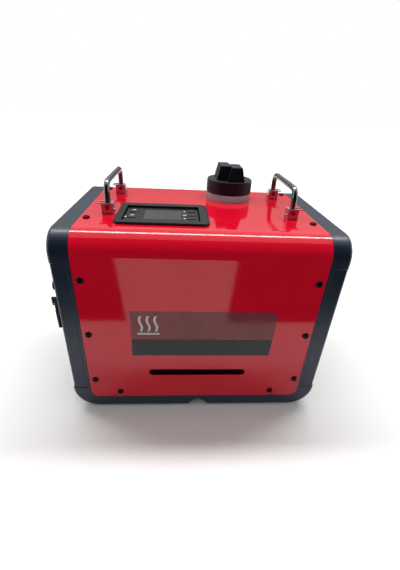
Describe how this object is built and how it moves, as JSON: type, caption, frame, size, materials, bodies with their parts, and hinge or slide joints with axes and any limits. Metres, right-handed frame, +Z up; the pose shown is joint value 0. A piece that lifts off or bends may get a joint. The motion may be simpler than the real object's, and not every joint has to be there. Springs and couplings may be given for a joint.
{
  "type": "portable diesel air heater",
  "caption": "Boxed diesel air heater: folded red steel cover between moulded end frames, fold-down handles, display, filler cap, louvred warm-air outlet, tank, pump and burner inside.",
  "frame": {"origin": "middle of the overall footprint, on the floor under the rubber feet", "axes": "+X to the right as seen from the front, +Y to the back, +Z up; the warm-air outlet faces -X and the display is near the front of the top"},
  "size_m": [0.3964, 0.2708, 0.3499],
  "materials": {
    "red_paint": "gloss powder coat",
    "case_plastic": "fine moulded grain",
    "black_plastic": "satin",
    "chrome": "polished",
    "black_screw": "black oxide",
    "zinc_steel": "zinc plated",
    "burner_steel": "heat tinted",
    "cast_aluminium": "as cast",
    "rubber": "matt",
    "tank_plastic": "natural",
    "neck_plastic": "natural",
    "lcd": "anti-glare",
    "key_rubber": "satin",
    "circuit_board": "solder mask",
    "duct_plastic": "satin",
    "filter_plastic": "clear"
  },
  "bodies": {
    "case": {"steel_cover": "red_paint", "base_tray": "case_plastic", "left_end_frame": "case_plastic", "right_end_frame": "case_plastic", "left_side_cover": "case_plastic", "right_side_cover": "case_plastic", "rubber_feet": "rubber", "panel_screws": "black_screw", "side_cover_screws": "black_screw", "handle_brackets": "chrome", "handle_pins": "chrome", "handle_backing_plates": "zinc_steel", "handle_nuts": "zinc_steel", "display_bezel": "black_plastic", "controller_housing": "black_plastic", "lcd_window": "lcd", "display_board": "circuit_board", "fuel_tank": "tank_plastic", "filler_neck": "neck_plastic", "tank_shelf": "zinc_steel", "fuel_filter": "filter_plastic", "fuel_pump": "zinc_steel", "pump_clip": "rubber", "tank_hose": "rubber", "filter_hose": "rubber", "pump_hose": "rubber", "heater_lower_shell": "duct_plastic", "heater_upper_shell": "duct_plastic", "control_board": "circuit_board", "heat_exchanger": "cast_aluminium", "burner_tube": "burner_steel", "glow_plug": "burner_steel", "exhaust_stub": "burner_steel", "combustion_air_box": "cast_aluminium", "intake_stub": "cast_aluminium", "blower_motor": "zinc_steel", "outlet_collar": "black_plastic", "power_inlet": "black_plastic", "lid_pin": "zinc_steel"},
    "left_handle": {"left_handle": "chrome"},
    "right_handle": {"right_handle": "chrome"},
    "cap_seal": {"cap_gasket": "rubber"},
    "fuel_cap": {"fuel_cap": "black_plastic"},
    "power_key": {"power_key": "key_rubber"},
    "mode_key": {"mode_key": "key_rubber"},
    "up_key": {"up_key": "key_rubber"},
    "set_key": {"set_key": "key_rubber"},
    "down_key": {"down_key": "key_rubber"},
    "blower": {"blower_shaft": "zinc_steel", "air_fan": "black_plastic", "combustion_fan": "cast_aluminium"},
    "louvre_ring": {"louvre_ring": "black_plastic"},
    "louvre_blade_1": {"louvre_blade_1": "black_plastic"},
    "louvre_blade_2": {"louvre_blade_2": "black_plastic"},
    "louvre_blade_3": {"louvre_blade_3": "black_plastic"},
    "inlet_lid": {"inlet_lid": "black_plastic"}
  },
  "joints": [
    {"name": "left_handle_fold", "type": "hinge", "parent": "case", "child": "left_handle", "pos_m": [-0.1262, 0.0095, 0.306], "axis": [0, -1, 0], "range_deg": [0, 90]},
    {"name": "right_handle_fold", "type": "hinge", "parent": "case", "child": "right_handle", "pos_m": [0.1358, 0.0095, 0.306], "axis": [0, 1, 0], "range_deg": [0, 90]},
    {"name": "fuel_cap_lift", "type": "slide", "parent": "case", "child": "cap_seal", "axis": [0, 0, 1], "range_m": [0, 0.0181]},
    {"name": "fuel_cap_turn", "type": "hinge", "parent": "cap_seal", "child": "fuel_cap", "pos_m": [0.0573, 0.064, 0.32], "axis": [0, 0, 1], "range_deg": [0, 1080]},
    {"name": "power_key_press", "type": "slide", "parent": "case", "child": "power_key", "axis": [0, 0, -1], "range_m": [0, 0.0008], "stiffness_N_per_m": 300, "springref_m": -0.0005},
    {"name": "mode_key_press", "type": "slide", "parent": "case", "child": "mode_key", "axis": [0, 0, -1], "range_m": [0, 0.0008], "stiffness_N_per_m": 300, "springref_m": -0.0005},
    {"name": "up_key_press", "type": "slide", "parent": "case", "child": "up_key", "axis": [0, 0, -1], "range_m": [0, 0.0008], "stiffness_N_per_m": 300, "springref_m": -0.0005},
    {"name": "set_key_press", "type": "slide", "parent": "case", "child": "set_key", "axis": [0, 0, -1], "range_m": [0, 0.0008], "stiffness_N_per_m": 300, "springref_m": -0.0005},
    {"name": "down_key_press", "type": "slide", "parent": "case", "child": "down_key", "axis": [0, 0, -1], "range_m": [0, 0.0008], "stiffness_N_per_m": 300, "springref_m": -0.0005},
    {"name": "blower_spin", "type": "hinge", "parent": "case", "child": "blower", "pos_m": [0.1048, -0.0627, 0.091], "axis": [1, 0, 0], "continuous": true},
    {"name": "louvre_ring_turn", "type": "hinge", "parent": "case", "child": "louvre_ring", "pos_m": [-0.1897, -0.0627, 0.091], "axis": [1, 0, 0], "continuous": true},
    {"name": "louvre_blade_1_tilt", "type": "hinge", "parent": "louvre_ring", "child": "louvre_blade_1", "pos_m": [-0.1897, -0.0627, 0.073], "axis": [0, 1, 0], "range_deg": [-35, 35]},
    {"name": "louvre_blade_2_tilt", "type": "hinge", "parent": "louvre_ring", "child": "louvre_blade_2", "pos_m": [-0.1897, -0.0627, 0.091], "axis": [0, 1, 0], "range_deg": [-35, 35]},
    {"name": "louvre_blade_3_tilt", "type": "hinge", "parent": "louvre_ring", "child": "louvre_blade_3", "pos_m": [-0.1897, -0.0627, 0.109], "axis": [0, 1, 0], "range_deg": [-35, 35]},
    {"name": "inlet_lid_close", "type": "hinge", "parent": "case", "child": "inlet_lid", "pos_m": [-0.1937, -0.113, 0.1923], "axis": [0, 1, 0], "range_deg": [0, 180]}
  ],
  "couplings": [
    {"joint": "fuel_cap_lift", "follows": "fuel_cap_turn", "m_per_rad": 0.00095493}
  ]
}
